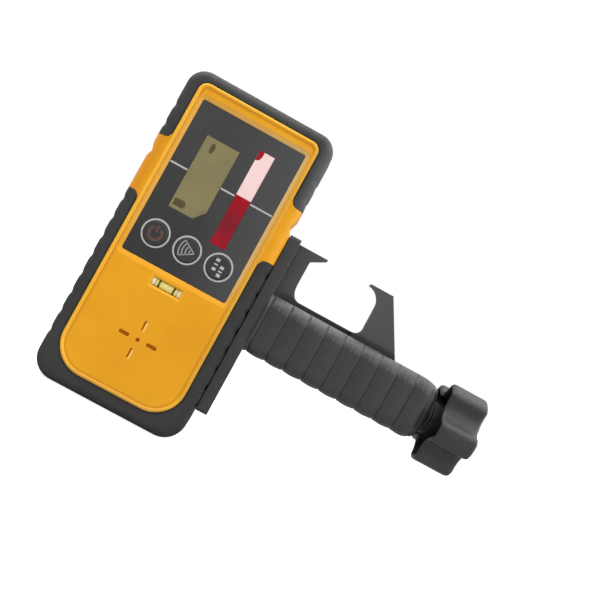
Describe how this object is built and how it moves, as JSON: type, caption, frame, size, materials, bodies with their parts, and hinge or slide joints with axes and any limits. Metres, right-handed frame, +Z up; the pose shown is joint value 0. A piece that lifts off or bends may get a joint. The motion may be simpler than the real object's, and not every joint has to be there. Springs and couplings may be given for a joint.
{
  "type": "laser receiver with rod clamp",
  "caption": "Hand-held laser receiver with rubber bumpers, display, sensor window and keys, on a ribbed grip whose star knob drives a sliding jaw that clamps it to a levelling rod.",
  "frame": {"origin": "middle of the fixed jaw's flat face, in the clamp's middle plane", "axes": "+X along the clamp from the receiver to the knob, -Y the receiver's front, +Z up"},
  "size_m": [0.2006, 0.0466, 0.16],
  "materials": {
    "housing": "fine spark-eroded moulding, satin",
    "bumper": "matte moulded rubber",
    "panel": "satin printed film",
    "display": "clear window over a grey-green display",
    "pale_window": "pale pink filter window",
    "red_window": "deep red filter window",
    "button": "satin key caps with printed icons",
    "module": "plain",
    "board": "solder resist",
    "vial": "clear tube with yellow-green liquid",
    "buzzer": "plain",
    "steel": "zinc plated",
    "brass": "turned",
    "cell": "wrapped cell",
    "clamp": "glass-filled moulding, matte",
    "knob": "satin moulding"
  },
  "bodies": {
    "receiver": {"front_housing": "housing", "rear_housing": "housing", "housing_gasket": "bumper", "top_bumper": "bumper", "bottom_bumper": "bumper", "face_panel": "panel", "lcd_window": "display", "lcd_module": "module", "upper_sensor_window": "pale_window", "lower_sensor_window": "red_window", "photodiode_array": "board", "main_board": "board", "level_vial": "vial", "vial_cradle": "module", "buzzer": "buzzer", "housing_screws": "steel", "mount_insert": "brass", "battery_cells": "cell", "contact_springs": "steel", "contact_plates": "steel", "clamp_frame": "clamp", "grip_front": "clamp", "grip_back": "clamp", "grip_screws": "steel", "inner_bush": "brass", "end_bush": "brass"},
    "power_button": {"power_button": "button"},
    "sound_button": {"sound_button": "button"},
    "precision_button": {"precision_button": "button"},
    "battery_door": {"battery_door": "housing"},
    "knob": {"star_knob": "knob", "lead_screw": "steel", "knob_pin": "steel", "hub_washer": "clamp"},
    "jaw": {"sliding_jaw": "clamp", "jaw_nut": "brass"},
    "thumb_washer": {"captive_washer": "steel"},
    "thumbscrew": {"clamp_thumbscrew": "knob"}
  },
  "joints": [
    {"name": "power_press", "type": "slide", "parent": "receiver", "child": "power_button", "axis": [0, 1, 0], "range_m": [0, 0.0007], "stiffness_N_per_m": 300},
    {"name": "sound_press", "type": "slide", "parent": "receiver", "child": "sound_button", "axis": [0, 1, 0], "range_m": [0, 0.0007], "stiffness_N_per_m": 300},
    {"name": "precision_press", "type": "slide", "parent": "receiver", "child": "precision_button", "axis": [0, 1, 0], "range_m": [0, 0.0007], "stiffness_N_per_m": 300},
    {"name": "knob_turn", "type": "hinge", "parent": "receiver", "child": "knob", "pos_m": [0.0875, 0, -0.0308], "axis": [-1, 0, 0], "range_deg": [0, 3960]},
    {"name": "jaw_slide", "type": "slide", "parent": "receiver", "child": "jaw", "axis": [-1, 0, 0], "range_m": [0, 0.022]},
    {"name": "thumb_advance", "type": "slide", "parent": "receiver", "child": "thumb_washer", "axis": [0, 1, 0], "range_m": [0, 0.00635]},
    {"name": "thumb_turn", "type": "hinge", "parent": "thumb_washer", "child": "thumbscrew", "pos_m": [-0.0524, 0.0155, -0.0297], "axis": [0, 1, 0], "range_deg": [0, 1800]},
    {"name": "door_swing", "type": "hinge", "parent": "receiver", "child": "battery_door", "pos_m": [-0.0524, 0.01, -0.0872], "axis": [-1, 0, 0], "range_deg": [0, 85]}
  ],
  "couplings": [
    {"joint": "knob_turn", "follows": "jaw_slide", "rad_per_m": 3141.6},
    {"joint": "thumb_turn", "follows": "thumb_advance", "rad_per_m": 4947.4}
  ]
}
